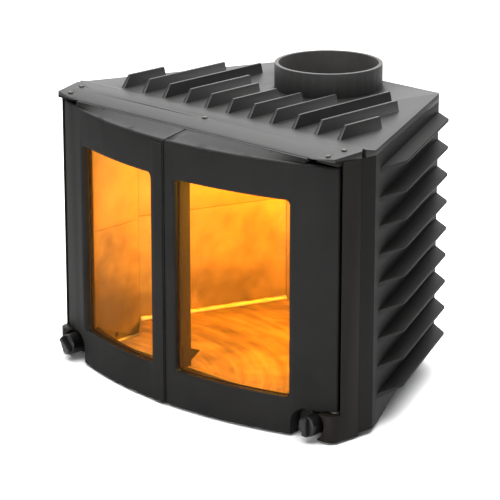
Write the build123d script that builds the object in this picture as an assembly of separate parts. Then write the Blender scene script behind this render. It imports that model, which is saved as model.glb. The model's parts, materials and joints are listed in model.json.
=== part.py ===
from build123d import *
from math import asin, cos, degrees, radians, sin, sqrt
import os

os.makedirs("parts", exist_ok=True)

# overall body: x across the front, y to the back, z up, all in mm
body_base = 10
body_top = 500
cheek_front_x = 350.4
cheek_front_y = -180
cheek_back_x = 357
cheek_back_y = -107
rear_x = 187
rear_y = 258
wall_thickness = 10
rear_round = 8
joint_y = -140
joint_gap = 0.6
part_gap = 0.5
overcut = 1
plinth_inset = 46
plinth_width = 28
base_thickness = 10
rise_start_y = -80
rise_middle_y = 0
wall_rise = (15, 34)
plate_rise = (8, 24)
tongue_depth = 90
sill_corner = 40

# bowed front
bow_radius = 800
bow_front = -259
bow_axis_y = bow_front + bow_radius
leaf_thickness = 20
leaf_gap = 3
leaf_bottom = 4
leaf_top_gap = 4
leaf_round = 6
leaf_end_x = 343
leaf_end_round = 4
hinge_x = 333
cheek_gap = 5
shelf_depth = 14
chord_y = -202
chord_gap = 2
chord_drop = 1.5
strip_inner_x = 3
strip_outer_x = 30
strip_proud = 3
strip_top_gap = 7
wedge_steps = 6
wedge_nose = 1

# windows in the leaves
window_outer_x = 259
right_window_inner_x = 22
left_window_inner_x = 38
window_bottom = 69.5
window_top = 422.5
window_corner = 9
window_bevel = 4
glass_depth = 13
glass_thickness = 4
glass_lap = 6
glass_side_gap = 2
glass_seal_width = 5
seal_thickness = 1
retainer_depth = 3
guard_depth = 26
retainer_thickness = 3
clip_length = 26
clip_reach = 17
clip_thickness = 2
clip_end = 70
clip_spread = 60
screw_radius = 2.5
screw_head_radius = 4.5
screw_head_height = 3
clip_head_height = 2
clip_screw_length = 9

# closing frame behind the leaves
frame_gap = 6
frame_thickness = 10
opening_x = 300
opening_bottom = 62
opening_top = 430
rope_x = 302
rope_width = 6
rope_clearance = 0.5
rope_low = 39
rope_rise = 1
rope_step_x = 244
rope_top = 446
lintel_top = 472
upstand_y = -164
upstand_thickness = 12
frame_seal_x = 290

# top plates with their fins and the flue collar
ridge_y = -129.5
ridge_height = 13.5
ridge_x = 346
hip_y = -160
hip_height = 10.2
lip_x = 286
lip_drop = 7.5
lip_depth = 12
lip_edge = 1
lug_x = 344
lug_y = -195
shoulder_x = 354.5
shoulder_y = -139.5
deck_front_y = -110
deck_height = 9
deck_rise = 5.4
seam = 0.1
top_fin_pitch = 53.6
top_fin_front = -103
top_fin_height = 23
top_fin_base = 8
top_fin_tip = 5
top_fin_rake = 16
top_fin_rear_rake = 4
top_fin_root = 2
top_fin_rears = (28, 35, 68, 152, 110, 4)
flue_y = 162.5
flue_radius = 99.5
flue_wall = 7.5
flue_ledge_width = 12
flue_ledge = 8
collar_screw_angles = (30, 150, 210, 330)
flue_height = 48.5
flue_seat_height = 5

# fins on the side walls
side_fins = 9
side_fin_drop = 30.5
side_fin_pitch = 50.7
side_fin_reach = 30
side_fin_base = 9
side_fin_tip = 5
side_fin_start = 25
side_fin_end = 6
side_fin_front_ramp = 60
side_fin_rear_ramp = 39
side_fin_rise = 11

# firebox lining
lining_x = 268
lining_front_y = -182
lining_bend_y = -68
lining_rear_x = 160
lining_rear_y = 220
brick_thickness = 25
front_brick_joint = 250
brick_joint = 256
brick_gap = 1
brick_top = 430
brick_nose = (8, 27)
brick_pocket = 8
air_hole_y = -129
air_hole_z = 36
air_hole_radius = 5
hearth_top = 51
hearth_front_y = -190
hearth_corner = (206, -130)
ash_lip_top = 44
ash_lip_depth = 12
ash_lip_reach = 218
baffle_thickness = 25
baffle_front_y = -60
rail_width = 14
rail_thickness = 3
baffle_lap = 10

# hinges
pin_radius = 5
running_gap = 0.05
pin_depth = 18
bore_spare = 2
washer_radius = 9
washer_height = 2.7
bracket_thickness = 6
bracket_inner_x = 300
bracket_front = -192
screw_a = (326, -153, 10.4)
screw_b = (320, -186, 5.4)
centre_bolt_y = upstand_y + upstand_thickness / 2

# lower corners and the air controls in them
post_inner_x = 316
post_front = -203
post_round = 18
post_bottom = 4
block_inner_x = 294
block_front = -190
block_top = 52
notch_x = 263
notch_top = 55
notch_radius = 28
knob_x = 306
knob_z = 30
recess_radius = 24.5
recess_back = -187
port_inner = 10
port_outer = 17
port_half_angle = 38
drum_radius = 18.5
drum_front = -221
drum_round = 3
knob_gap = 1
grip_length = 34
grip_width = 8
grip_front = -228
grip_round = 3.5
left_grip_turn = 45
spindle_radius = 5
disc_radius = 19
disc_thickness = 3
disc_gap = 1
nut_radius = 8
nut_height = 5
spindle_room = 15

# catch on the right-hand leaf
catch_x = 20.5
catch_width = 5
catch_low = 71
catch_high = 112
catch_reach = 42
catch_peak = 3
catch_root = 2

bracket_bottom = body_top - bracket_thickness
leaf_top = bracket_bottom - leaf_top_gap
shelf_bottom = leaf_top - shelf_depth
chord_z = body_top - chord_drop
strip_top = leaf_top - strip_top_gap
ridge_z = body_top + ridge_height
hip_z = body_top + hip_height
lip_bottom = body_top - lip_drop
deck_front_z = body_top + deck_height
deck_rear_z = deck_front_z + deck_rise
top_fin_top = deck_front_z + top_fin_height
flue_top = deck_front_z + flue_height
flue_seat = body_top + flue_seat_height
flue_shelf = flue_seat + flue_ledge
flue_bore = flue_radius - flue_wall
flue_ledge_bore = flue_bore - flue_ledge_width
glass_front = bow_radius - glass_depth
leaf_back = bow_radius - leaf_thickness
frame_front = leaf_back - frame_gap
frame_back = frame_front - frame_thickness
cheek_inner_x = leaf_end_x + cheek_gap
pin_circle = bow_radius - leaf_thickness / 2
wall_inner_y = rear_y - wall_thickness
base_top = body_base + base_thickness
lining_foot = base_top + plate_rise[1]
lining_outer_x = lining_x + brick_thickness
upright = (Align.CENTER, Align.CENTER, Align.MIN)


def bow_y(x, radius=bow_radius):
    return bow_axis_y - sqrt(radius ** 2 - x ** 2)


hinge_y = bow_y(hinge_x, pin_circle)


def bow_point(x, radius):
    # the point at this radius on the ray that meets the front face at x
    angle = asin(x / bow_radius)
    return (radius * sin(angle), bow_axis_y - radius * cos(angle))


def bow_band(x0, x1, inner, outer, z0, z1):
    middle = (x0 + x1) / 2
    edges = ThreePointArc(bow_point(x0, outer), bow_point(middle, outer), bow_point(x1, outer))
    edges += Line(bow_point(x1, outer), bow_point(x1, inner))
    edges += ThreePointArc(bow_point(x1, inner), bow_point(middle, inner), bow_point(x0, inner))
    edges += Line(bow_point(x0, inner), bow_point(x0, outer))
    return Pos(0, 0, z0) * extrude(make_face(edges), z1 - z0)


def slab(points, z0, z1):
    return Pos(0, 0, z0) * extrude(make_face(Polyline(*points, close=True)), z1 - z0)


def block(x0, x1, y0, y1, z0, z1):
    return Pos(x0, y0, z0) * Box(x1 - x0, y1 - y0, z1 - z0, align=(Align.MIN, Align.MIN, Align.MIN))


def post(x, y, z0, z1, radius):
    return Pos(x, y, z0) * Cylinder(radius, z1 - z0, align=upright)


def rod(x, z, y0, y1, radius):
    # a cylinder along y
    return Pos(x, y1, z) * Rot(90, 0, 0) * Cylinder(radius, y1 - y0, align=upright)


def radial(x, z, radius, shape):
    # a shape built along +z, set on the bow at x and turned to point at the bow's axis
    px, py = bow_point(x, radius)
    return Pos(px, py, z) * Rot(0, 0, degrees(asin(x / bow_radius))) * Rot(-90, 0, 0) * shape


def mirrored(points):
    return list(points) + [(-x, y) for x, y in reversed(points)]


def flip(shape):
    return mirror(shape, Plane.YZ)


def slope_between(x0, y0, x1, y1):
    return (x1 - x0) / (y1 - y0)


def wall_x(y, inset=0.0):
    # outer face of the right-hand side wall, or a line this far inside it
    slope = slope_between(cheek_back_x, cheek_back_y, rear_x, rear_y)
    return cheek_back_x + slope * (y - cheek_back_y) - inset * sqrt(1 + slope ** 2)


def cheek_x(y):
    slope = slope_between(cheek_front_x, cheek_front_y, cheek_back_x, cheek_back_y)
    return cheek_front_x + slope * (y - cheek_front_y)


def lining_edge(y, offset=0.0):
    slope = slope_between(lining_x, lining_bend_y, lining_rear_x, lining_rear_y)
    return lining_x + slope * (y - lining_bend_y) + offset * sqrt(1 + slope ** 2)


def deck_z(y):
    return deck_front_z + deck_rise * (y - deck_front_y) / (rear_y - deck_front_y)


def plate_z(y):
    # upper face of the front top plate behind its falling lip
    return hip_z + (ridge_z - hip_z) * (y - hip_y) / (ridge_y - hip_y)


def under_body(rise, lift=0.0):
    # the room below the body's underside, which rises to the back, or below a level this far above it
    level = body_base + lift
    middle, end = rise
    line = [(bow_front, level), (rise_start_y, level), (rise_middle_y, level + middle), (rear_y, level + end)]
    room = Polyline((bow_front, -overcut), *line, (rear_y, -overcut), close=True)
    return extrude(Plane.YZ * make_face(room), cheek_back_x, both=True)


def base_plate():
    inset = wall_thickness + part_gap
    back = wall_inner_y - part_gap
    front = joint_y + part_gap
    outline = [(cheek_x(front) - inset, front), (wall_x(cheek_back_y, inset), cheek_back_y)]
    outline += [(wall_x(back, inset), back)]
    plate = slab(mirrored(outline), body_base, lining_foot) & under_body(plate_rise, base_thickness)
    plate -= under_body(plate_rise)
    reach = block_inner_x - part_gap
    tongue = bow_band(-reach, reach, frame_back - tongue_depth, frame_back - part_gap, body_base, base_top)
    plate += tongue - block(-reach, reach, front, rear_y, 0, body_top)
    foot = [(cheek_front_x - plinth_inset, front), (wall_x(cheek_back_y, plinth_inset), cheek_back_y)]
    foot += [(wall_x(rear_y - plinth_inset, plinth_inset), rear_y - plinth_inset)]
    inner = plinth_inset + plinth_width
    hollow = [(cheek_front_x - inner, front + plinth_width), (wall_x(cheek_back_y, inner), cheek_back_y)]
    hollow += [(wall_x(rear_y - inner, inner), rear_y - inner)]
    plinth = slab(mirrored(foot), 0, lining_foot) - slab(mirrored(hollow), 0, lining_foot)
    plate += plinth & under_body(plate_rise, overcut)
    room = rod(knob_x, knob_z, joint_y - overcut, joint_y + spindle_room, disc_radius + disc_gap)
    return plate - room - flip(room)


def front_pillar():
    # cheek beside the leaf, closing flange behind it, and the corner below it that holds the air control
    strip = [(cheek_inner_x, cheek_front_y), (cheek_front_x, cheek_front_y), (cheek_x(joint_y), joint_y)]
    body = slab(strip + [(cheek_inner_x, joint_y)], post_bottom, body_top)
    end_x, end_y = bow_point(leaf_end_x, frame_front)
    web = [(cheek_inner_x, end_y), (cheek_inner_x, joint_y), (end_x - frame_thickness, joint_y)]
    web += [(end_x - frame_thickness, end_y + frame_thickness / 2), (end_x, end_y)]
    body += slab(web, block_top, bracket_bottom)
    body += bow_band(opening_x, leaf_end_x, frame_back, frame_front, block_top, bracket_bottom)
    outline = [(post_inner_x, post_front), (cheek_x(post_front), post_front), (cheek_x(joint_y), joint_y)]
    low = slab(outline + [(post_inner_x, joint_y)], post_bottom, block_top)
    body += fillet(low.edges().filter_by(Axis.Z).sort_by(Axis.Y)[:2].sort_by(Axis.X)[-1], post_round)
    body += block(block_inner_x, post_inner_x, block_front, joint_y, body_base, block_top)
    body -= rod(knob_x, knob_z, post_front - overcut, recess_back, recess_radius)
    body -= rod(knob_x, knob_z, post_front, joint_y, spindle_radius + running_gap)
    body -= air_port(recess_back, joint_y)
    return body - post(hinge_x, hinge_y, block_top - pin_depth, block_top, pin_radius)


def side_fin(z):
    # both ends run out to the wall, the underside rises to the tip, and the fin climbs a little to the back
    length = sqrt((cheek_back_x - rear_x) ** 2 + (rear_y - cheek_back_y) ** 2)
    end = length - side_fin_end
    plan = Polyline(
        (side_fin_start, 0), (end, 0), (end - side_fin_rear_ramp, side_fin_reach),
        (side_fin_start + side_fin_front_ramp, side_fin_reach), close=True)
    fin = extrude(make_face(plan), side_fin_base)
    draft = Polyline((0, 0), (side_fin_reach, 0), (side_fin_reach, side_fin_base - side_fin_tip), close=True)
    fin -= extrude(Plane.YZ * make_face(draft), length)
    climb = Rot(0, -degrees(asin(side_fin_rise / length)), 0)
    turn = 90 + degrees(asin((cheek_back_x - rear_x) / length))
    place = Pos(cheek_back_x, cheek_back_y, z - side_fin_base) * Rot(0, 0, turn)
    return place * climb * mirror(fin, Plane.XZ)


def side_wall():
    front = joint_y + joint_gap
    outline = [(cheek_x(front), front), (cheek_back_x, cheek_back_y), (rear_x, rear_y)]
    inner = [(wall_x(rear_y, wall_thickness), rear_y), (wall_x(cheek_back_y, wall_thickness), cheek_back_y)]
    outline += inner + [(cheek_x(front) - wall_thickness, front)]
    wall = slab(outline, body_base, body_top) - under_body(wall_rise)
    wall = fillet(wall.edges().filter_by(Axis.Z).sort_by(Axis.Y)[-2:].sort_by(Axis.X)[-1], rear_round)
    for row in range(side_fins):
        wall += side_fin(body_top - side_fin_drop - row * side_fin_pitch)
    return wall


def rear_wall():
    inset = wall_thickness + part_gap
    corner = [(wall_x(wall_inner_y, inset), wall_inner_y), (wall_x(rear_y, inset), rear_y)]
    return slab(mirrored(corner), body_base, body_top) - under_body(wall_rise)


def front_sill():
    reach = block_inner_x
    return bow_band(-reach, reach, frame_back, frame_front, body_base, opening_bottom) - sill_corners()


def sill_corners():
    # room for the castings that hold the air controls
    start = block_inner_x - part_gap
    corner = block(start, start + sill_corner, bow_front, joint_y, 0, block_top)
    return corner + flip(corner)


def lintel():
    bar = bow_band(-opening_x, opening_x, frame_back, frame_front, opening_top, lintel_top)
    rear = upstand_y + upstand_thickness
    reach = frame_seal_x
    low = lintel_top - frame_thickness
    web = block(-reach, reach, bow_front, rear, low, lintel_top)
    web &= post(0, bow_axis_y, low, lintel_top, frame_back)
    return bar + web + block(-reach, reach, upstand_y, rear, lintel_top, body_top)


def frame_rope():
    # stiff sealing rope: up both sides, across the top, and stepped down between the lower corners
    inner = frame_front
    outer = leaf_back - rope_clearance
    far = rope_x + rope_width
    foot = notch_top + rope_rise
    rope = bow_band(-far, far, inner, outer, rope_top, rope_top + rope_width)
    side = bow_band(rope_x, far, inner, outer, foot, rope_top)
    side += bow_band(rope_step_x, rope_x, inner, outer, foot, foot + rope_width - part_gap)
    side += bow_band(rope_step_x, rope_step_x + rope_width, inner, outer, rope_low, foot)
    rope += bow_band(-rope_step_x, rope_step_x, inner, outer, rope_low, rope_low + rope_width)
    return rope + side + flip(side)


def rolled_section(front_y, front_z, low):
    # the plate's profile in front of the hip, rolled down to its front edge
    rise = Vector(0, hip_y - ridge_y, hip_z - ridge_z)
    top = TangentArc((0, hip_y, hip_z), (0, front_y, front_z), tangent=rise)
    rest = Polyline((0, front_y, front_z), (0, front_y, low), (0, hip_y, low), (0, hip_y, hip_z))
    return make_face(top + rest)


def lug():
    # the corner of the plate: rolled at its inner end, flat where the hinge pin is
    low = chord_z - lip_edge
    flat = Polyline(
        (0, hip_y, hip_z), (0, lug_y, plate_z(lug_y)), (0, lug_y, low), (0, hip_y, low), close=True)
    rolled = Pos(lip_x, 0, 0) * rolled_section(chord_y, chord_z, low)
    blend = loft([rolled, Pos(lug_x, 0, 0) * make_face(flat)], ruled=True)
    outline = [(lug_x, hip_y), (lug_x, lug_y), (shoulder_x, shoulder_y)]
    outline += [(ridge_x, ridge_y), (0, ridge_y), (0, hip_y)]
    return (blend & block(lip_x, lug_x, chord_y, hip_y, body_top, ridge_z)) + slab(outline, body_top, ridge_z)


def front_top_plate():
    # a sloping plate between the lugs, rolled down in front to a lip over the leaves' straight rear edges
    right = lug() - plate_room()
    plate = right + flip(right)
    middle = extrude(rolled_section(chord_y, chord_z, chord_z - lip_edge), lip_x, both=True, dir=(1, 0, 0))
    plate += middle & block(-lip_x, lip_x, chord_y, hip_y, body_top, ridge_z)
    lip = Polyline(
        (chord_y, lip_bottom), (chord_y, chord_z), (chord_y + lip_depth, body_top + lip_edge),
        (chord_y + lip_depth, lip_bottom), close=True)
    plate += extrude(Plane.YZ * make_face(lip), lip_x, both=True)
    for x, y, seat in (screw_a, screw_b):
        hole = post(x, y, body_top, ridge_z, screw_radius)
        hole += post(x, y, body_top + seat, ridge_z, screw_head_radius + part_gap)
        plate -= hole + flip(hole)
    seat = plate_z(centre_bolt_y - screw_head_radius)
    plate -= post(0, centre_bolt_y, seat, ridge_z, screw_head_radius + part_gap)
    return plate - post(0, centre_bolt_y, body_top, ridge_z, screw_radius)


def plate_room():
    # everything above the plate's slope
    front, back = lug_y - overcut, ridge_y + overcut
    slope = Polyline(
        (front, plate_z(front)), (back, plate_z(back)), (back, ridge_z + lip_depth),
        (front, ridge_z + lip_depth), close=True)
    return extrude(Plane.YZ * make_face(slope), 2 * shoulder_x, both=True)


def top_fin(column):
    rear = top_fin_rears[abs(column)]
    root = body_top + top_fin_root
    side = Polyline(
        (top_fin_front, root), (rear, root), (rear, deck_z(rear)), (rear - top_fin_rear_rake, top_fin_top),
        (top_fin_front + top_fin_rake, top_fin_top), (top_fin_front, deck_z(top_fin_front)), close=True)
    fin = extrude(Plane.YZ * make_face(side), top_fin_base / 2, both=True)
    wide = top_fin_base / 2 + overcut
    high = top_fin_top + overcut
    taper = Polyline(
        (top_fin_base / 2, deck_front_z), (wide, deck_front_z), (wide, high),
        (top_fin_tip / 2, high), (top_fin_tip / 2, top_fin_top), close=True)
    length = rear - top_fin_front + 2 * overcut
    draft = Pos(0, rear + overcut, 0) * extrude(Plane.XZ * make_face(taper), length)
    return Pos(column * top_fin_pitch, 0, 0) * (fin - draft - flip(draft))


def top_plate():
    half = [(0, ridge_y + seam), (ridge_x + seam, ridge_y + seam)]
    half += [(shoulder_x + part_gap, shoulder_y + part_gap), (cheek_back_x, cheek_back_y)]
    half += [(rear_x, rear_y), (0, rear_y)]
    right = slab(half, body_top, top_fin_top)
    right = fillet(right.edges().filter_by(Axis.Z).sort_by(Axis.Y)[-2:].sort_by(Axis.X)[-1], rear_round)
    profile = Polyline(
        (ridge_y, body_top), (ridge_y, ridge_z), (deck_front_y, deck_front_z), (rear_y, deck_rear_z),
        (rear_y, body_top), close=True)
    deck = extrude(Plane.YZ * make_face(profile), cheek_back_x, both=True) & (right + flip(right))
    for column in range(1 - len(top_fin_rears), len(top_fin_rears)):
        deck += top_fin(column)
    deck -= post(0, flue_y, flue_seat, flue_top, flue_radius)
    for x, y in collar_screw_places():
        deck -= post(x, y, body_top, flue_seat, screw_radius)
    return deck - post(0, flue_y, body_top, flue_top, flue_ledge_bore)


def flue_collar():
    collar = post(0, flue_y, flue_seat, flue_top, flue_radius)
    collar -= post(0, flue_y, flue_shelf, flue_top, flue_bore)
    collar -= post(0, flue_y, flue_seat, flue_shelf, flue_ledge_bore)
    for x, y in collar_screw_places():
        collar -= post(x, y, flue_seat, flue_shelf, screw_radius)
        collar -= post(x, y, flue_shelf - screw_head_height, flue_shelf, screw_head_radius + part_gap)
    return collar


def collar_screw_places():
    reach = (flue_bore + flue_ledge_bore) / 2
    return [(reach * cos(radians(a)), flue_y + reach * sin(radians(a))) for a in collar_screw_angles]


def screw_down(x, y, seat, end):
    head = post(x, y, seat, seat + screw_head_height, screw_head_radius)
    return head + post(x, y, end, seat, screw_radius)


def collar_screws():
    seat = flue_shelf - screw_head_height
    return [screw_down(x, y, seat, body_top) for x, y in collar_screw_places()]


def bracket_screws():
    end = bracket_bottom + part_gap
    right = [screw_down(x, y, body_top + seat, end) for x, y, seat in (screw_a, screw_b)]
    return right + [flip(s) for s in right]


def hinge_bracket():
    plate = block(bracket_inner_x, cheek_inner_x - part_gap, bracket_front, joint_y, bracket_bottom, body_top)
    for x, y, _ in (screw_a, screw_b):
        plate -= post(x, y, bracket_bottom, body_top, screw_radius)
    return plate + post(hinge_x, hinge_y, leaf_top - pin_depth, bracket_bottom, pin_radius)


def lower_pin():
    return post(hinge_x, hinge_y, block_top - pin_depth, notch_top + pin_depth, pin_radius)


def hinge_washer():
    washer = post(hinge_x, hinge_y, block_top, block_top + washer_height, washer_radius)
    return washer - post(hinge_x, hinge_y, block_top, block_top + washer_height, pin_radius)


def hearth_plate():
    # a flat bed with its front edge straight and its front corners cut away
    inset = part_gap
    half = [(hearth_corner[0], hearth_front_y), hearth_corner, (lining_x - inset, lining_bend_y)]
    half += [(lining_edge(lining_rear_y) - inset, lining_rear_y - inset)]
    return slab(mirrored(half), body_base, hearth_top) - under_body(plate_rise, base_thickness)


def ash_lip():
    front = frame_back - part_gap
    strip = bow_band(-ash_lip_reach, ash_lip_reach, front - ash_lip_depth, front, base_top, ash_lip_top)
    return strip - block(-ash_lip_reach, ash_lip_reach, hearth_front_y - part_gap, 0, 0, body_top)


def front_brick(low, high):
    # beside the doorway, behind the sill; its outer face leaves room for the damper disc, and air comes
    # in by a hole from there
    nose_x, nose_y = brick_nose
    points = [(lining_x, lining_front_y), (lining_x, lining_bend_y - brick_gap)]
    points += [(lining_outer_x, lining_bend_y - brick_gap), (lining_outer_x, lining_front_y + nose_y)]
    brick = slab(points + [(lining_x + nose_x, lining_front_y)], low, high)
    inside = lining_outer_x - brick_pocket
    pocket = block(inside, lining_outer_x, joint_y - part_gap, joint_y + spindle_room, 0, block_top)
    hole = Cylinder(air_hole_radius, 2 * brick_thickness)
    brick -= pocket + Pos(lining_x, air_hole_y, air_hole_z) * Rot(0, 90, 0) * hole
    sill_top = opening_bottom + brick_gap
    brick -= bow_band(window_outer_x, leaf_end_x, frame_back - part_gap, bow_radius, 0, sill_top)
    return brick - under_body(plate_rise, base_thickness)


def wall_brick(low, high):
    points = [(lining_x, lining_bend_y)]
    points += [(lining_edge(lining_rear_y, offset), lining_rear_y) for offset in (0, brick_thickness)]
    brick = slab(points + [(lining_outer_x, lining_bend_y)], low, high)
    return brick - under_body(plate_rise, base_thickness)


def rear_brick(low, high):
    reach = lining_rear_x
    brick = block(-reach, reach, lining_rear_y + brick_gap, lining_rear_y + brick_thickness, low, high)
    return brick - under_body(plate_rise, base_thickness)


def smoke_baffle():
    half = [(lining_edge(y) + baffle_lap, y) for y in (baffle_front_y, lining_rear_y)]
    low = brick_top + brick_gap
    return slab(mirrored(half), low, low + baffle_thickness)


def baffle_rail():
    # flat bar on the wall lining's outer top edge that keeps the baffle from sliding
    start = baffle_front_y
    inner = brick_thickness - rail_thickness
    points = [(lining_edge(start, inner), start), (lining_edge(lining_rear_y, inner), lining_rear_y)]
    points += [(lining_edge(lining_rear_y, brick_thickness), lining_rear_y)]
    points += [(lining_edge(start, brick_thickness), start)]
    return slab(points, brick_top, brick_top + rail_width)


def air_port(y0, y1):
    # two opposed kidney slots round the spindle
    reach = port_outer * 2
    spread = reach * sin(radians(port_half_angle))
    run = reach * cos(radians(port_half_angle))
    fan = make_face(Polyline((0, 0), (spread, run), (-spread, run), close=True))
    fan += make_face(Polyline((0, 0), (spread, -run), (-spread, -run), close=True))
    slots = extrude((Circle(port_outer) - Circle(port_inner)) & fan, y1 - y0)
    return Pos(knob_x, y1, knob_z) * Rot(90, 0, 0) * slots


def about_knob(shape, turn):
    # turns a piece about the air control's own axis
    return Pos(knob_x, 0, knob_z) * Rot(0, turn, 0) * Pos(-knob_x, 0, -knob_z) * shape


def spindle():
    end = joint_y + disc_gap + disc_thickness + nut_height
    return rod(knob_x, knob_z, recess_back - knob_gap, end, spindle_radius)


def knob():
    back = recess_back - knob_gap
    drum = rod(knob_x, knob_z, drum_front, back, drum_radius)
    drum = fillet(drum.edges().filter_by(GeomType.CIRCLE).sort_by(Axis.Y)[0], drum_round)
    side = grip_width / 2
    end = grip_length / 2
    root = drum_front + drum_round
    grip = block(knob_x - side, knob_x + side, grip_front, root, knob_z - end, knob_z + end)
    rim = grip.edges().filter_by(Axis.X).sort_by(Axis.Y)[:2]
    return drum + fillet(rim, grip_round)


def damper_disc():
    start = joint_y + disc_gap
    end = start + disc_thickness
    disc = rod(knob_x, knob_z, start, end, disc_radius) - air_port(start, end)
    return disc - rod(knob_x, knob_z, start, end, spindle_radius)


def spindle_nut():
    start = joint_y + disc_gap + disc_thickness
    face = RegularPolygon(nut_radius, 6) - Circle(spindle_radius)
    return Pos(knob_x, start + nut_height, knob_z) * Rot(90, 0, 0) * extrude(face, nut_height)


def shelf_wedge(x0, x1):
    # the leaf's top slopes from its straight rear edge down to the bowed front edge
    back = chord_y - chord_gap
    sections = []
    for step in range(wedge_steps + 1):
        x = x0 + (x1 - x0) * step / wedge_steps
        front = min(bow_y(x, bow_radius - leaf_round), back - wedge_nose)
        low = leaf_top - overcut
        outline = [(front, low), (back, low), (back, chord_z), (front, leaf_top)]
        sections.append(Pos(x, 0, 0) * (Plane.YZ * make_face(Polyline(*outline, close=True))))
    return loft(sections)


def rounded_edge_cutter():
    inner = bow_radius - leaf_round
    outer = bow_radius + overcut
    low = leaf_top - leaf_round
    high = leaf_top + overcut
    mid = leaf_round * sqrt(0.5)
    edges = Polyline((inner, leaf_top), (inner, high), (outer, high), (outer, low), (bow_radius, low))
    edges += ThreePointArc((bow_radius, low), (inner + mid, low + mid), (inner, leaf_top))
    ring = Pos(0, bow_axis_y, 0) * revolve(Plane.XZ * make_face(edges), Axis.Z)
    reach = leaf_end_x + overcut
    return ring & block(-overcut, reach, bow_front - overcut, 0, low - overcut, high)


def window_cut(inner_x, lap, inner, outer):
    cut = bow_band(inner_x - lap, window_outer_x + lap, inner, outer, window_bottom - lap, window_top + lap)
    return fillet(cut.edges().filter_by(GeomType.LINE).filter_by(Axis.Z, reverse=True), window_corner)


def leaf(inner_x):
    edge = leaf_gap / 2
    body = bow_band(edge, leaf_end_x, leaf_back, bow_radius, leaf_bottom, leaf_top)
    body = fillet(body.edges().filter_by(Axis.Z).sort_by(Axis.X)[-1], leaf_end_round)
    shelf = block(edge, lip_x, bow_front, chord_y - chord_gap, shelf_bottom, leaf_top)
    body += shelf & post(0, bow_axis_y, shelf_bottom, leaf_top, leaf_back + overcut)
    body += shelf_wedge(edge, lip_x - overcut)
    body -= rounded_edge_cutter()
    cut = block(notch_x, leaf_end_x + overcut, bow_front, 0, leaf_bottom - overcut, notch_top)
    body -= fillet(cut.edges().filter_by(Axis.Y).sort_by(Axis.X)[:2].sort_by(Axis.Z)[-1], notch_radius)
    behind = leaf_back - overcut
    body -= window_cut(inner_x, 0, behind, bow_radius + overcut)
    body = bevel_window(body, inner_x)
    body -= window_cut(inner_x, glass_lap + glass_side_gap, behind, glass_front + seal_thickness)
    bore = pin_radius + running_gap
    depth = pin_depth + bore_spare
    body -= post(hinge_x, hinge_y, leaf_top - depth, leaf_top, bore)
    body -= post(hinge_x, hinge_y, notch_top, notch_top + depth, bore)
    for shape in clip_screws(inner_x):
        body -= shape
    return body


def bevel_window(body, inner_x):
    # the front rim of the window opening is chamfered all round
    middle_x, half_width = (inner_x + window_outer_x) / 2, (window_outer_x - inner_x) / 2 + overcut
    middle_z, half_height = (window_bottom + window_top) / 2, (window_top - window_bottom) / 2 + overcut
    edges = []
    for e in body.edges():
        c = e.center()
        across = abs(c.X - middle_x) < half_width and abs(c.Z - middle_z) < half_height
        if across and sqrt(c.X ** 2 + (c.Y - bow_axis_y) ** 2) > bow_radius - overcut:
            edges.append(e)
    return chamfer(edges, window_bevel)


def glass(inner_x):
    return window_cut(inner_x, glass_lap, glass_front - glass_thickness, glass_front)


def glass_seal(inner_x):
    front = glass_front + seal_thickness
    inside = window_cut(inner_x, glass_lap - glass_seal_width, glass_front - overcut, front + overcut)
    return window_cut(inner_x, glass_lap, glass_front, front) - inside


def retainer(inner_x):
    # a shallow frame on the glass, with a deep guard beside the meeting stile
    front = glass_front - glass_thickness
    rim = window_cut(inner_x, retainer_thickness, front - retainer_depth, front)
    rim += window_cut(inner_x, glass_lap + glass_side_gap - part_gap, leaf_back, front)
    side = inner_x - retainer_thickness
    guard = bow_band(side, inner_x, front - guard_depth, front, window_bottom, window_top)
    return rim - window_cut(inner_x, 0, front - retainer_depth - overcut, front + overcut) + guard


def clip_places(inner_x):
    middle = (inner_x + window_outer_x) / 2
    sides = [(window_outer_x, z, 1, 0) for z in (window_bottom + clip_end, window_top - clip_end)]
    for x in (middle - clip_spread, middle + clip_spread):
        sides += [(x, window_bottom, 0, -1), (x, window_top, 0, 1)]
    return sides


def clips(inner_x):
    # small plates across the rebate that hold the retaining frame and the glass
    near = retainer_thickness + part_gap
    pieces = []
    for x, z, out_x, out_z in clip_places(inner_x):
        half = clip_length / 2
        x0, x1 = (x + near, x + clip_reach + near) if out_x else (x - half, x + half)
        low, high = (z - half, z + half)
        if out_z > 0:
            low, high = (z + near, z + near + clip_reach)
        if out_z < 0:
            low, high = (z - near - clip_reach, z - near)
        plate = bow_band(x0, x1, leaf_back - clip_thickness, leaf_back, low, high)
        sx, sz = clip_screw_place(x, z, out_x, out_z)
        hole = Cylinder(screw_radius, 2 * (clip_thickness + overcut))
        pieces.append(plate - radial(sx, sz, leaf_back, hole))
    return pieces


def clip_screw_place(x, z, out_x, out_z):
    reach = retainer_thickness + clip_reach - screw_head_radius
    return (x + out_x * reach, z + out_z * reach)


def clip_screws(inner_x):
    pieces = []
    seat = leaf_back - clip_thickness - running_gap
    for place in clip_places(inner_x):
        x, z = clip_screw_place(*place)
        head = radial(x, z, seat, Cylinder(screw_head_radius, clip_head_height, align=upright))
        shank = Cylinder(screw_radius, clip_screw_length, align=upright)
        pieces.append(head + radial(x, z, seat + clip_screw_length, shank))
    return pieces


def cover_strip():
    outer = bow_radius + strip_proud
    return bow_band(strip_inner_x, strip_outer_x, bow_radius, outer, leaf_bottom, strip_top)


def catch_plate():
    # a ramp behind the glass on the inner side of the retaining frame
    front = bow_y(catch_x, glass_front - glass_thickness) + catch_root
    peak = (catch_low + catch_high) / 2 + catch_peak
    side = Polyline((front, catch_low), (front, catch_high), (front + catch_reach, peak), close=True)
    plate = Pos(catch_x, 0, 0) * extrude(Plane.YZ * make_face(side), catch_width)
    return plate - retainer(right_window_inner_x)


def save(name, shape):
    if isinstance(shape, list):
        shape = Compound(children=shape)
    export_step(shape, f"parts/{name}.step")


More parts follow.
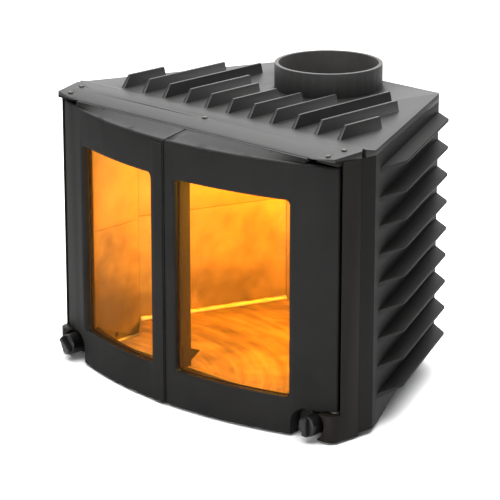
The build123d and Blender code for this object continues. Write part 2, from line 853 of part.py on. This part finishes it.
def save_pair(name, shape):
    save(f"right_{name}", shape)
    left = [flip(s) for s in shape] if isinstance(shape, list) else flip(shape)
    save(f"left_{name}", left)


save("base_plate", base_plate())
save_pair("front_pillar", front_pillar())
save("front_sill", front_sill())
save_pair("side_wall", side_wall())
save("rear_wall", rear_wall())
save("lintel", lintel())
save("frame_rope", frame_rope())
save("front_top_plate", front_top_plate())
save("top_plate", top_plate())
save("flue_collar", flue_collar())
save("collar_screws", collar_screws())
save_pair("hinge_bracket", hinge_bracket())
save("bracket_screws", bracket_screws())
bolt_seat = plate_z(centre_bolt_y - screw_head_radius)
save("centre_bolt", screw_down(0, centre_bolt_y, bolt_seat, body_top))
save_pair("lower_pin", lower_pin())
save_pair("hinge_washer", hinge_washer())
save("hearth_plate", hearth_plate())
save("ash_lip", ash_lip())
save_pair("lower_front_brick", front_brick(body_base, front_brick_joint - brick_gap))
save_pair("upper_front_brick", front_brick(front_brick_joint, brick_top))
save_pair("lower_wall_brick", wall_brick(body_base, brick_joint - brick_gap))
save_pair("upper_wall_brick", wall_brick(brick_joint, brick_top))
save("lower_rear_brick", rear_brick(body_base, brick_joint - brick_gap))
save("upper_rear_brick", rear_brick(brick_joint, brick_top))
save("smoke_baffle", smoke_baffle())
save_pair("baffle_rail", baffle_rail())
for side, inner_x in (("right", right_window_inner_x), ("left", left_window_inner_x)):
    turn = flip if side == "left" else (lambda shape: shape)
    save(f"{side}_leaf", turn(leaf(inner_x)))
    save(f"{side}_glass", turn(glass(inner_x)))
    save(f"{side}_glass_seal", turn(glass_seal(inner_x)))
    save(f"{side}_retainer", turn(retainer(inner_x)))
    save(f"{side}_clips", [turn(s) for s in clips(inner_x)])
    save(f"{side}_clip_screws", [turn(s) for s in clip_screws(inner_x)])
save("left_cover_strip", flip(cover_strip()))
save("right_catch_plate", catch_plate())
control = (("knob", knob), ("spindle", spindle), ("damper_disc", damper_disc), ("spindle_nut", spindle_nut))
for name, maker in control:
    save(f"right_{name}", maker())
    save(f"left_{name}", flip(about_knob(maker(), left_grip_turn)))
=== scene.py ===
import json
import math

import bpy
import numpy as np
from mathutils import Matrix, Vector

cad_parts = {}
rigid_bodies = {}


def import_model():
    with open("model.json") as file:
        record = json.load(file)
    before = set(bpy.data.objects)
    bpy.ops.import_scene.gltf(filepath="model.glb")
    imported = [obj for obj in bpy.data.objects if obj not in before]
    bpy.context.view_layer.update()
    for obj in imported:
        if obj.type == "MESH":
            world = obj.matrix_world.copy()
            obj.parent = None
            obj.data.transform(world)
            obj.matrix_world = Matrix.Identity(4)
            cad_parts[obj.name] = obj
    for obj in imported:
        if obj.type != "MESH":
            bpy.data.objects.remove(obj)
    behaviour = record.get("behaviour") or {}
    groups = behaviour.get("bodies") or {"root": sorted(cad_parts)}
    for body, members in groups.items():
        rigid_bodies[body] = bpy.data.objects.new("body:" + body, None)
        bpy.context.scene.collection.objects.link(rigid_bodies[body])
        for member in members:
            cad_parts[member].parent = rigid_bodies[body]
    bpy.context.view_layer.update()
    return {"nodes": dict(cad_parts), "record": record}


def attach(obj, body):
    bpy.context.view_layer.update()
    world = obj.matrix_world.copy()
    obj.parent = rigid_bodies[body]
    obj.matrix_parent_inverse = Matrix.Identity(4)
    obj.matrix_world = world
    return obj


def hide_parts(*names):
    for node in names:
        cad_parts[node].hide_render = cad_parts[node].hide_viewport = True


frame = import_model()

nodes = frame["nodes"]
millimetre = 0.001


# colours are written as sRGB hex and turned to linear here
def linearColour(hexText):
    channels = [int(hexText[i:i + 2], 16) / 255 for i in (1, 3, 5)]
    return tuple(c / 12.92 if c <= 0.04045 else ((c + 0.055) / 1.055) ** 2.4 for c in channels) + (1.0,)


# settings are the node's own options, inputs are values or sockets to link from,
# and stops are the places and colours along a colour ramp
def addNode(tree, kind, settings=None, inputs=None, stops=()):
    node = tree.nodes.new(kind)
    for name, value in (settings or {}).items():
        setattr(node, name, value)
    for name, value in (inputs or {}).items():
        if isinstance(value, bpy.types.NodeSocket):
            tree.links.new(value, node.inputs[name])
        else:
            node.inputs[name].default_value = value
    elements = node.color_ramp.elements if stops else ()
    while len(elements) < len(stops):
        elements.new(0.5)
    for element, (place, colour) in zip(elements, stops):
        element.position = place
        element.color = linearColour(colour)
    return node


def newMaterial(name):
    material = bpy.data.materials.new(name)
    material.use_nodes = True
    tree = material.node_tree
    tree.nodes.clear()
    shader = addNode(tree, "ShaderNodeBsdfPrincipled")
    addNode(tree, "ShaderNodeOutputMaterial", inputs={"Surface": shader.outputs[0]})
    return material, shader


# the scale of a pattern whose spots are this wide on the object
def spotsPerMetre(sizeInMillimetres):
    return 1 / (sizeInMillimetres * millimetre)


# a pattern is linked to the shader, and a plain number goes on the shader's own socket
def lay(tree, shader, colour, roughness, bump=None, gloss=None):
    tree.links.new(colour, shader.inputs["Base Color"])
    if isinstance(roughness, bpy.types.NodeSocket):
        tree.links.new(roughness, shader.inputs["Roughness"])
    else:
        shader.inputs["Roughness"].default_value = roughness
    if bump:
        tree.links.new(bump.outputs["Normal"], shader.inputs["Normal"])
    if gloss is not None:
        shader.inputs["Specular IOR Level"].default_value = gloss


castPaint = {
    "dark": (0.3, "#131313"), "light": (0.7, "#1b1b1a"), "grainShare": 0.45,
    "cloud": {"Scale": spotsPerMetre(70), "Detail": 3.0, "Roughness": 0.6},
    "grain": {"Scale": spotsPerMetre(1.1), "Detail": 2.0, "Roughness": 0.6},
    "rough": (0.52, 0.62), "wiped": 0.48, "lookingUp": (0.4, 0.95),
    "bump": 0.3, "grainDepth": 0.3, "gloss": 0.14,
}
doorPaint = dict(castPaint, dark=(0.3, "#151515"), light=(0.7, "#1e1e1d"), gloss=0.06, rough=(0.64, 0.72),
                 wiped=0.34)
topPaint = dict(castPaint, dark=(0.3, "#181818"), light=(0.7, "#212120"), gloss=0.24)
collarPaint = dict(castPaint, dark=(0.3, "#2c2c2c"), light=(0.7, "#373736"), gloss=0.25)
cheekPaint = dict(castPaint, dark=(0.3, "#12100d"), light=(0.7, "#1a1714"), gloss=0.08)
wallPaint = dict(castPaint, dark=(0.3, "#0e0e0d"), light=(0.7, "#151514"), gloss=0.08, wiped=0.6)
knobPaint = dict(castPaint, dark=(0.3, "#080808"), light=(0.7, "#0d0d0d"), rough=(0.3, 0.4), gloss=0.25,
                 grainDepth=0.1)


# matt stove paint on sand-cast iron. Colour is the mean of a wide cloud and a fine grain, which gives the
# eye a nearly even charcoal with the peaks of the sand a shade paler. Roughness follows the cloud, and goes
# over to the wiped value as a face turns upwards, so that flat tops shine a little where cloths reach them
def stovePaint(name, look):
    material, shader = newMaterial(name)
    tree = material.node_tree
    place = addNode(tree, "ShaderNodeTexCoord").outputs["Object"]
    cloud = addNode(tree, "ShaderNodeTexNoise", inputs={"Vector": place, **look["cloud"]}).outputs["Fac"]
    grain = addNode(tree, "ShaderNodeTexNoise", inputs={"Vector": place, **look["grain"]}).outputs["Fac"]
    mixed = addNode(tree, "ShaderNodeMix", {"data_type": "FLOAT"},
                    {"Factor": look["grainShare"], "A": cloud, "B": grain})
    paint = addNode(tree, "ShaderNodeValToRGB", inputs={"Fac": mixed.outputs["Result"]},
                    stops=(look["dark"], look["light"]))
    low, high = look["rough"]
    rough = addNode(tree, "ShaderNodeMapRange", inputs={"Value": cloud, "To Min": low, "To Max": high})
    normal = addNode(tree, "ShaderNodeNewGeometry").outputs["Normal"]
    height = addNode(tree, "ShaderNodeSeparateXYZ", inputs={"Vector": normal}).outputs["Z"]
    tilted, level = look["lookingUp"]
    upward = addNode(tree, "ShaderNodeMapRange", inputs={
        "Value": height, "From Min": tilted, "From Max": level})
    wiped = addNode(tree, "ShaderNodeMix", {"data_type": "FLOAT"}, {
        "Factor": upward.outputs["Result"], "A": rough.outputs["Result"], "B": look["wiped"]})
    bump = addNode(tree, "ShaderNodeBump", inputs={
        "Strength": look["bump"], "Distance": look["grainDepth"] * millimetre, "Height": grain})
    lay(tree, shader, paint.outputs["Color"], wiped.outputs["Result"], bump, look["gloss"])
    return material


brickLook = {
    "soot": (0.28, "#946a2a"), "dark": (0.5, "#b68634"), "pale": (0.7, "#c8993e"),
    "cloud": {"Scale": spotsPerMetre(120), "Detail": 5.0, "Roughness": 0.65},
    "grit": {"Scale": spotsPerMetre(2.2), "Detail": 2.0, "Roughness": 0.7},
    "rough": 0.95, "bump": 0.5, "pits": 1.0,
    "lowFrontDarkening": {"middle": (268, 135, 85), "ragged": 0.16, "reach": (0.09, 0.27), "black": 0.22},
}
# near-white colours for the fire cement fillets: a painted highlight along the lit foot of the lining
beadPaintedHighlightLook = dict(
    brickLook, soot=(0.28, "#f2cc6a"), dark=(0.5, "#ffe38c"), pale=(0.7, "#fff0b0"), lowFrontDarkening=None,
    cloud={"Scale": spotsPerMetre(40), "Detail": 5.0, "Roughness": 0.65},
    grit={"Scale": spotsPerMetre(1.5), "Detail": 2.0, "Roughness": 0.7})


# pressed vermiculite board, and fire cement whose near-white colours are a painted highlight: three colours
# spread over a wide cloud give the eye soot stains, and fine pits break up the light. A darkening low down
# beside the doorway multiplies the colour by a factor that rises with the distance from its middle, made
# ragged by the cloud; both walls have it, as the distance is taken from the absolute place
def vermiculite(name, look):
    material, shader = newMaterial(name)
    tree = material.node_tree
    place = addNode(tree, "ShaderNodeTexCoord").outputs["Object"]
    cloud = addNode(tree, "ShaderNodeTexNoise", inputs={"Vector": place, **look["cloud"]}).outputs["Fac"]
    grit = addNode(tree, "ShaderNodeTexNoise", inputs={"Vector": place, **look["grit"]}).outputs["Fac"]
    board = addNode(tree, "ShaderNodeValToRGB", inputs={"Fac": cloud},
                    stops=(look["soot"], look["dark"], look["pale"]))
    colour = board.outputs["Color"]
    # darker towards a spot low down beside the doorway, on both walls
    if look["lowFrontDarkening"]:
        lowFrontDarkening = look["lowFrontDarkening"]
        near, far = lowFrontDarkening["reach"]
        middle = [value * millimetre for value in lowFrontDarkening["middle"]]
        mirrored = addNode(tree, "ShaderNodeVectorMath", {"operation": "ABSOLUTE"}, {0: place})
        away = addNode(tree, "ShaderNodeVectorMath", {"operation": "DISTANCE"}, {
            0: mirrored.outputs["Vector"], 1: middle})
        ragged = addNode(tree, "ShaderNodeMath", {"operation": "MULTIPLY_ADD"}, {
            0: cloud, 1: lowFrontDarkening["ragged"], 2: away.outputs["Value"]})
        clear = addNode(tree, "ShaderNodeMapRange", {"interpolation_type": "SMOOTHSTEP"}, {
            "Value": ragged.outputs[0], "From Min": near, "From Max": far,
            "To Min": lowFrontDarkening["black"], "To Max": 1.0})
        shade = addNode(tree, "ShaderNodeMix", {"data_type": "RGBA", "blend_type": "MULTIPLY"}, {
            "Factor": 1.0, 6: colour, 7: clear.outputs["Result"]})
        colour = shade.outputs[2]
    bump = addNode(tree, "ShaderNodeBump", inputs={
        "Strength": look["bump"], "Distance": look["pits"] * millimetre, "Height": grit})
    lay(tree, shader, colour, look["rough"], bump)
    return material


ashLook = {
    "soot": (0.35, "#5d3f18"), "dark": (0.5, "#94692a"), "pale": (0.62, "#b8873a"), "cloudShare": 0.5,
    "streak": {"Scale": spotsPerMetre(22), "Detail": 4.0, "Roughness": 0.6},
    "cloud": {"Scale": spotsPerMetre(90), "Detail": 3.0, "Roughness": 0.6},
    "turn": (-150, -420, 50), "stretch": 0.12, "rough": 1.0, "bump": 0.5, "depth": 0.3,
}


# swept wood ash: noise read at (distance from the place the brush turned about, a little of x) is long in
# one direction, so the eye sees curved streaks; half of it is a wide cloud, so they fade in and out
def sweptAsh(name, look):
    material, shader = newMaterial(name)
    tree = material.node_tree
    place = addNode(tree, "ShaderNodeTexCoord").outputs["Object"]
    centre = [value * millimetre for value in look["turn"]]
    away = addNode(tree, "ShaderNodeVectorMath", {"operation": "DISTANCE"}, {0: place, 1: centre})
    along = addNode(tree, "ShaderNodeSeparateXYZ", inputs={"Vector": place}).outputs["X"]
    slow = addNode(tree, "ShaderNodeMath", {"operation": "MULTIPLY"}, {0: along, 1: look["stretch"]})
    track = addNode(tree, "ShaderNodeCombineXYZ", inputs={
        "X": away.outputs["Value"], "Y": slow.outputs[0]}).outputs["Vector"]
    streak = addNode(tree, "ShaderNodeTexNoise", inputs={"Vector": track, **look["streak"]}).outputs["Fac"]
    cloud = addNode(tree, "ShaderNodeTexNoise", inputs={"Vector": place, **look["cloud"]}).outputs["Fac"]
    mixed = addNode(tree, "ShaderNodeMix", {"data_type": "FLOAT"},
                    {"Factor": look["cloudShare"], "A": streak, "B": cloud})
    dust = addNode(tree, "ShaderNodeValToRGB", inputs={"Fac": mixed.outputs["Result"]},
                   stops=(look["soot"], look["dark"], look["pale"]))
    bump = addNode(tree, "ShaderNodeBump", inputs={
        "Strength": look["bump"], "Distance": look["depth"] * millimetre, "Height": streak})
    lay(tree, shader, dust.outputs["Color"], look["rough"], bump)
    return material


zincLook = {"dark": (0.3, "#55534f"), "light": (0.7, "#6f6d68"), "metal": 0.8, "rough": 0.55, "gloss": 0.5,
            "stain": {"Scale": spotsPerMetre(6), "Detail": 3.0, "Roughness": 0.5}}
scaleLook = {"dark": (0.3, "#0b0705"), "light": (0.7, "#170f0a"), "metal": 0.0, "rough": 0.75, "gloss": 0.15,
             "stain": {"Scale": spotsPerMetre(18), "Detail": 4.0, "Roughness": 0.5}}


# rolled or turned steel stained in small clouds between two colours: dull zinc gives the fixings a grey
# glint, and the scale of steel that has been hot many times gives a brown black with no shine
def stainedSteel(name, look):
    material, shader = newMaterial(name)
    tree = material.node_tree
    place = addNode(tree, "ShaderNodeTexCoord").outputs["Object"]
    stain = addNode(tree, "ShaderNodeTexNoise", inputs={"Vector": place, **look["stain"]}).outputs["Fac"]
    colour = addNode(tree, "ShaderNodeValToRGB", inputs={"Fac": stain}, stops=(look["dark"], look["light"]))
    shader.inputs["Metallic"].default_value = look["metal"]
    lay(tree, shader, colour.outputs["Color"], look["rough"], gloss=look["gloss"])
    return material


ropeLook = {"weave": 1.6, "strand": (0.0, "#5f5b55"), "between": (0.8, "#36332f"), "rough": 0.95}


# woven glass-fibre rope: cells as wide as a strand, pale in the middle and dark between, read as a weave
def glassRope(name, look):
    material, shader = newMaterial(name)
    tree = material.node_tree
    place = addNode(tree, "ShaderNodeTexCoord").outputs["Object"]
    weave = addNode(tree, "ShaderNodeTexVoronoi", inputs={
        "Vector": place, "Scale": spotsPerMetre(look["weave"])})
    colour = addNode(tree, "ShaderNodeValToRGB", inputs={"Fac": weave.outputs["Distance"]},
                     stops=(look["strand"], look["between"]))
    lay(tree, shader, colour.outputs["Color"], look["rough"])
    return material


paneLook = {"Base Color": linearColour("#e08a2c"), "Roughness": 0.06, "Alpha": 0.04, "IOR": 1.52,
            "Specular IOR Level": 0.1}


# drawn and polished glass-ceramic, a little amber, so thin that the eye looks straight through
def ceramicGlass(name, look):
    material, shader = newMaterial(name)
    for socket, value in look.items():
        shader.inputs[socket].default_value = value
    return material


castDoor = stovePaint("sandCastDoorPaint", doorPaint)
castTop = stovePaint("sandCastTopPaint", topPaint)
castCollar = stovePaint("turnedCollarPaint", collarPaint)
castCheek = stovePaint("smokedCheekPaint", cheekPaint)
castWall = stovePaint("sandCastWallPaint", wallPaint)
controlPaint = stovePaint("smoothControlPaint", knobPaint)
brick = vermiculite("pressedVermiculite", brickLook)
# the fire cement fillets get near-white colours, a painted highlight along the lit foot of the lining
cementHighlight = vermiculite("fireCementPaintedHighlight", beadPaintedHighlightLook)
steel = stainedSteel("zincPlatedSteel", zincLook)
scale = stainedSteel("heatScaledSteel", scaleLook)
rope = glassRope("glassFibreRope", ropeLook)
ash = sweptAsh("sweptWoodAsh", ashLook)
pane = ceramicGlass("amberGlassCeramic", paneLook)

bySlot = {
    "body_iron": castWall, "door_iron": castDoor, "collar_iron": castCollar, "control_iron": controlPaint,
    "window_glass": pane, "firebrick": brick, "hearth_brick": brick,
    "inner_steel": scale, "fixing_steel": steel, "seal_rope": rope,
}
slotOf = {entry["node"]: entry["material_slot"] for entry in frame["record"]["subparts"]}
byNode = {"front_top_plate": castTop, "top_plate": castTop,
          "right_front_pillar": castCheek, "left_front_pillar": castCheek}
for name, piece in nodes.items():
    piece.data.materials.clear()
    piece.data.materials.append(byNode.get(name, bySlot[slotOf[name]]))
print("materials given to", len(nodes), "CAD nodes")

# cast and machined edges are never sharp: doubles are welded and the edges broken with a small bevel;
# the sloping and the flat top plate meet in a tight seam, so theirs is the smallest
edges = {"cast": 1.2, "machined": 0.4, "brick": 0.6, "seam": 0.15, "weld": 0.01, "segments": 2, "angle": 30}
seamNodes = ["front_top_plate", "top_plate"]
castNodes = ["right_leaf", "left_leaf", "left_cover_strip", "right_front_pillar", "left_front_pillar",
             "flue_collar", "right_side_wall", "left_side_wall", "rear_wall", "right_knob", "left_knob"]


def edgeKind(name):
    if bySlot[slotOf[name]] is brick:
        return "brick"
    if name in seamNodes:
        return "seam"
    return "cast" if name in castNodes else "machined"


for name, piece in nodes.items():
    if bySlot[slotOf[name]] is pane:
        continue
    weld = piece.modifiers.new("weld", "WELD")
    weld.merge_threshold = edges["weld"] * millimetre
    bevel = piece.modifiers.new("edges", "BEVEL")
    bevel.width = edges[edgeKind(name)] * millimetre
    bevel.segments = edges["segments"]
    bevel.limit_method = "ANGLE"
    bevel.angle_limit = math.radians(edges["angle"])
    bevel.harden_normals = True
    bevel.use_clamp_overlap = True
    piece.data.polygons.foreach_set("use_smooth", np.ones(len(piece.data.polygons), bool))
print("edges broken")


def makePiece(name, vertices, faces, material, body):
    # vertices are in millimetres
    mesh = bpy.data.meshes.new(name)
    mesh.from_pydata((np.asarray(vertices, float) * millimetre).tolist(), [], faces)
    mesh.polygons.foreach_set("use_smooth", np.ones(len(mesh.polygons), bool))
    mesh.materials.append(material)
    piece = bpy.data.objects.new(name, mesh)
    bpy.context.scene.collection.objects.link(piece)
    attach(piece, body)
    return piece


def gridFaces(rows, columns, closed=False):
    # quads of a grid of points stored row by row; closed joins each row's last point to its first
    column = np.arange(columns if closed else columns - 1)
    first = np.arange(rows - 1)[:, None] * columns
    a = first + column
    b = first + (column + 1) % columns
    return np.stack((a, b, b + columns, a + columns), axis=-1).reshape(-1, 4).tolist()


# a closed section carried along a path: point = place on the path + growth * (sideways part along the level
# normal of the path + upward part straight up); both ends are capped
def sweep(path, section, growth):
    ahead = np.gradient(path, axis=0)
    sideways = np.column_stack((ahead[:, 1], -ahead[:, 0], np.zeros(len(path))))
    sideways /= np.linalg.norm(sideways, axis=1)[:, None]
    across = growth[:, None] * section[None, :, 0]
    points = path[:, None, :] + across[:, :, None] * sideways[:, None, :]
    points[:, :, 2] += growth[:, None] * section[None, :, 1]
    faces = gridFaces(len(path), len(section), closed=True)
    last = (len(path) - 1) * len(section)
    faces.append(list(range(len(section)))[::-1])
    faces.append(list(range(last, last + len(section))))
    return points.reshape(-1, 3), faces


# points at even steps along a straight run
def straightRun(start, end, step):
    start, end = np.asarray(start, float), np.asarray(end, float)
    count = int(np.linalg.norm(end - start) / step)
    return start + (end - start) * np.linspace(0, 1, count + 1)[:, None]


cementBead = {"leg": 6.0, "crown": 3.6, "step": 4.0, "waver": 0.12, "beat": (13, 5.1, 1), "base": 20.2,
              "hearth": 51.2, "overlap": 2, "gap": 1,
              "front": (267.6, -150), "bend": (267.6, -68), "rear": (159.6, 219.6)}


# fillets of fire cement where the lining meets the floor of the firebox, coloured near white as a painted
# highlight of the lit foot of the lining; the section is a triangle with a full face, and it swells and
# thins by hand as 1 + waver * sin(travel / slow) * sin(travel / quick + lag)
def cementFillets(bead):
    leg, crown = bead["leg"], bead["crown"]
    (frontX, frontY), (bendX, bendY), (rearX, rearY) = bead["front"], bead["bend"], bead["rear"]
    base, hearth = bead["base"], bead["hearth"]
    slow, quick, lag = bead["beat"]
    for side, sign in (("right", 1), ("left", -1)):
        corners = [(0, 0), (leg, 0), (crown, crown), (0, leg)][::sign]
        section = np.array([(-sign * x, z) for x, z in corners], float)
        runs = {"Lowbead": [(sign * frontX, frontY, base), (sign * bendX, bendY - bead["overlap"], base)],
                "Highbead": [(sign * bendX, bendY + bead["gap"], hearth), (sign * rearX, rearY, hearth)]}
        for ending, (start, end) in runs.items():
            line = straightRun(start, end, bead["step"])
            travel = np.arange(len(line)) * bead["step"]
            growth = 1 + bead["waver"] * np.sin(travel / slow) * np.sin(travel / quick + lag)
            points, faces = sweep(line, section, growth)
            makePiece(side + ending, points, faces, cementHighlight, "firebox")


cementFillets(cementBead)
print("fire cement laid")

bedSize = {"floor": 51.1, "lift": 0.1, "thick": 0.5, "rows": 200, "columns": 220, "edge": 0.15,
           "front": (200, -184), "corner": (200, -130), "bend": (260, -68), "rear": (154, 212),
           "fine": (0.2, 2.9), "coarse": (0.2, 5.3, 2), "slant": 0.02, "lumps": (0.1, 31, 23), "middle": 0.5}


# a thin bed of ash swept towards the door. Height is a middle level, two sines of the distance from the
# place the brush turned about, and low lumps in x and y; it fades to nothing at the edges of the bed
def ashBed(bed):
    rows, columns = bed["rows"], bed["columns"]
    halfX, outlineY = zip(bed["front"], bed["corner"], bed["bend"], bed["rear"])
    depth = np.linspace(outlineY[0], outlineY[-1], rows)
    share = np.linspace(-1, 1, columns)
    x = np.interp(depth, outlineY, halfX)[:, None] * share
    y = np.repeat(depth[:, None], columns, axis=1)
    turnX, turnY = ashLook["turn"][:2]
    away = np.hypot(x - turnX, y - turnY)
    fineHeight, fine = bed["fine"]
    coarseHeight, coarse, lag = bed["coarse"]
    lumpHeight, lumpX, lumpY = bed["lumps"]
    ridges = bed["middle"] + fineHeight * np.sin(away / fine + bed["slant"] * x)
    ridges += coarseHeight * np.sin(away / coarse + lag)
    ridges += lumpHeight * np.sin(x / lumpX) * np.sin(y / lumpY)
    rim = np.minimum(np.sin(np.linspace(0, np.pi, rows))[:, None], 1 - share ** 2)
    fade = np.clip(rim / bed["edge"], 0, 1)
    top = bed["floor"] + bed["lift"] + bed["thick"] * ridges * fade
    upper = np.stack((x, y, top), axis=-1).reshape(-1, 3)
    lower = upper.copy()
    lower[:, 2] = bed["floor"]
    count = rows * columns
    faces = gridFaces(rows, columns)
    faces += (np.array(faces)[:, ::-1] + count).tolist()
    grid = np.arange(count).reshape(rows, columns)
    edge = np.concatenate((grid[0], grid[1:, -1], grid[-1, -2::-1], grid[-2::-1, 0]))
    here, after = edge[:-1], edge[1:]
    faces += np.column_stack((here, here + count, after + count, after)).tolist()
    makePiece("ashBed", np.concatenate((upper, lower)), faces, ash, "firebox")


ashBed(bedSize)
print("ash spread")

# rim and socket are shares of the socket's width and of the head's height
panHead = {"radius": 4.5, "height": 3.0, "socket": 2.0, "depth": 1.8, "steps": 48,
           "profile": [(1.0, 0.0), (1.0, 0.45), (0.97, 0.7), (0.88, 0.9), (0.74, 1.0)],
           "rim": 1.08, "lip": 0.94}
topScrews = {"right": [(326, -153, 510.4), (320, -186, 505.4)], "middle": (0, -158, 509.9),
             "turn": 0.4, "middleTurn": 0.3}


# screw heads: circles of the profile round the axis, then a hexagon socket, whose distance from the axis is
# its half width over the cosine of the angle from the middle of the nearest flat
def screwHeads(name, places, turns, replaced):
    head = panHead
    radius, height, socket, steps = head["radius"], head["height"], head["socket"], head["steps"]
    angle = np.linspace(0, 2 * np.pi, steps, endpoint=False)
    sixth = np.pi / 3
    points, faces = [], []
    for place, turn in zip(places, turns):
        hexagon = socket / np.cos((angle + turn) % sixth - sixth / 2)
        rings = [(radius * wide, height * high) for wide, high in head["profile"]]
        rings += [(hexagon * head["rim"], height), (hexagon, head["lip"] * height),
                  (hexagon, height - head["depth"])]
        start = sum(len(ring) for ring in points)
        for ring, level in rings:
            circle = np.column_stack((ring * np.cos(angle), ring * np.sin(angle), np.full(steps, level)))
            points.append(circle + np.asarray(place, float))
        last = start + (len(rings) - 1) * steps
        faces += (np.array(gridFaces(len(rings), steps, closed=True)) + start).tolist()
        faces.append(list(range(start, start + steps))[::-1])
        faces.append(list(range(last, last + steps)))
    piece = makePiece(name, np.concatenate(points), faces, steel, "firebox")
    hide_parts(replaced)


# the screws that hold the front plate to the hinge brackets, and the bolt in its middle
screwPlaces = topScrews["right"] + [(-x, y, z) for x, y, z in topScrews["right"]]
screwTurns = topScrews["turn"] * np.arange(len(screwPlaces))
screwHeads("bracketScrewHeads", screwPlaces, screwTurns, "bracket_screws")
screwHeads("centreBoltHead", [topScrews["middle"]], [topScrews["middleTurn"]], "centre_bolt")
print("screws set")


def addLight(name, kind, place, aim, power, size, colour="#ffffff"):
    data = bpy.data.lights.new(name, kind)
    data.energy = power
    data.color = linearColour(colour)[:3]
    if kind == "AREA":
        data.shape = "DISK"
        data.size = size
    else:
        data.shadow_soft_size = size
    light = bpy.data.objects.new(name, data)
    bpy.context.scene.collection.objects.link(light)
    light.location = place
    light.rotation_euler = (Vector(aim) - Vector(place)).to_track_quat("-Z", "Y").to_euler()
    return light


bpy.context.scene.view_settings.view_transform = "Standard"

# a wide softbox overhead makes the floor white, low ones in front lift the leaves out of the black, and the
# one at the side shows the ends of the fins; places and sizes in metres, power in watts
softboxes = {
    "overheadSoftbox": {"place": (0.0, 0.3, 3.2), "aim": (0, 0.1, 0), "power": 360, "size": 5.0},
    "frontFill": {"place": (1.9, -2.9, 0.7), "aim": (0.1, -0.2, 0.2), "power": 20, "size": 1.6},
    "frontSoftbox": {"place": (-1.1, -1.6, 2.5), "aim": (0, -0.2, 0.2), "power": 10, "size": 1.0},
    "floorBounce": {"place": (0.3, -1.1, 0.06), "aim": (0.0, -0.25, 0.08), "power": 9, "size": 0.5},
    "rightFill": {"place": (2.8, -0.6, 0.9), "aim": (0.2, 0, 0.2), "power": 2, "size": 1.4},
}
for name, softbox in softboxes.items():
    addLight(name, "AREA", **softbox)

# the glow of the fire, the reason the windows look orange in the photograph; it falls on the lining,
# and not through the air ports on to the controls and the floor
fireGlow = {"colour": "#ffc92c", "size": 0.04, "nearFire": ((0.1, 0.02, 0.36), 7.6),
            "highFire": ((-0.06, 0.12, 0.39), 2.4)}
outside = ["right_knob", "left_knob", "right_spindle", "left_spindle", "right_damper_disc",
           "left_damper_disc", "right_front_pillar", "left_front_pillar"]
hearthside = bpy.data.collections.new("hearthside")
for piece in list(bpy.data.objects):
    if piece.type == "MESH" and piece.name not in outside:
        hearthside.objects.link(piece)
for name in ("nearFire", "highFire"):
    place, power = fireGlow[name]
    glow = addLight(name, "POINT", place, (0, 0, 0), power, fireGlow["size"], fireGlow["colour"])
    glow.light_linking.receiver_collection = hearthside
print("lights placed")

wallsLook = {"towards": (-0.66, 0.69, 0.3), "bright": 2.6, "dim": 0.12, "spread": (0.35, 0.9)}


# the studio's walls are bright behind the object, which gives the flat top its sheen, and dim in front:
# brightness rises with the cosine between a direction and the one towards the bright wall
def studioWorld(look):
    world = bpy.data.worlds.new("paleStudio")
    bpy.context.scene.world = world
    world.use_nodes = True
    tree = world.node_tree
    tree.nodes.clear()
    low, high = look["spread"]
    direction = addNode(tree, "ShaderNodeTexCoord").outputs["Generated"]
    facing = addNode(tree, "ShaderNodeVectorMath", {"operation": "DOT_PRODUCT"}, {
        0: direction, 1: look["towards"]})
    strength = addNode(tree, "ShaderNodeMapRange", {"interpolation_type": "SMOOTHSTEP"}, {
        "Value": facing.outputs["Value"], "From Min": low, "From Max": high,
        "To Min": look["dim"], "To Max": look["bright"]})
    background = addNode(tree, "ShaderNodeBackground", inputs={
        "Color": linearColour("#ffffff"), "Strength": strength.outputs["Result"]})
    addNode(tree, "ShaderNodeOutputWorld", inputs={"Surface": background.outputs[0]})


studioWorld(wallsLook)

floorLook = {"half": 30.0, "colour": "#f4f4f4", "rough": 0.9}


# a sheet of matt pale paper far larger than the picture
def paleFloor(look):
    half = look["half"]
    mesh = bpy.data.meshes.new("floor")
    corners = [(-half, -half, 0), (half, -half, 0), (half, half, 0), (-half, half, 0)]
    mesh.from_pydata(corners, [], [(0, 1, 2, 3)])
    floor = bpy.data.objects.new("floor", mesh)
    bpy.context.scene.collection.objects.link(floor)
    material, shader = newMaterial("palePaper")
    shader.inputs["Base Color"].default_value = linearColour(look["colour"])
    shader.inputs["Roughness"].default_value = look["rough"]
    mesh.materials.append(material)


paleFloor(floorLook)

view = {"place": (3.1456, -3.2719, 1.6392), "pitch": 72.78, "turn": 44.26, "lens": 187.2, "sensor": 36}
cameraData = bpy.data.cameras.new("photoCamera")
cameraData.sensor_width = view["sensor"]
cameraData.lens = view["lens"]
camera = bpy.data.objects.new("photoCamera", cameraData)
camera.location = view["place"]
camera.rotation_euler = (math.radians(view["pitch"]), 0, math.radians(view["turn"]))
bpy.context.scene.collection.objects.link(camera)
bpy.context.scene.camera = camera
print("floor and camera set")
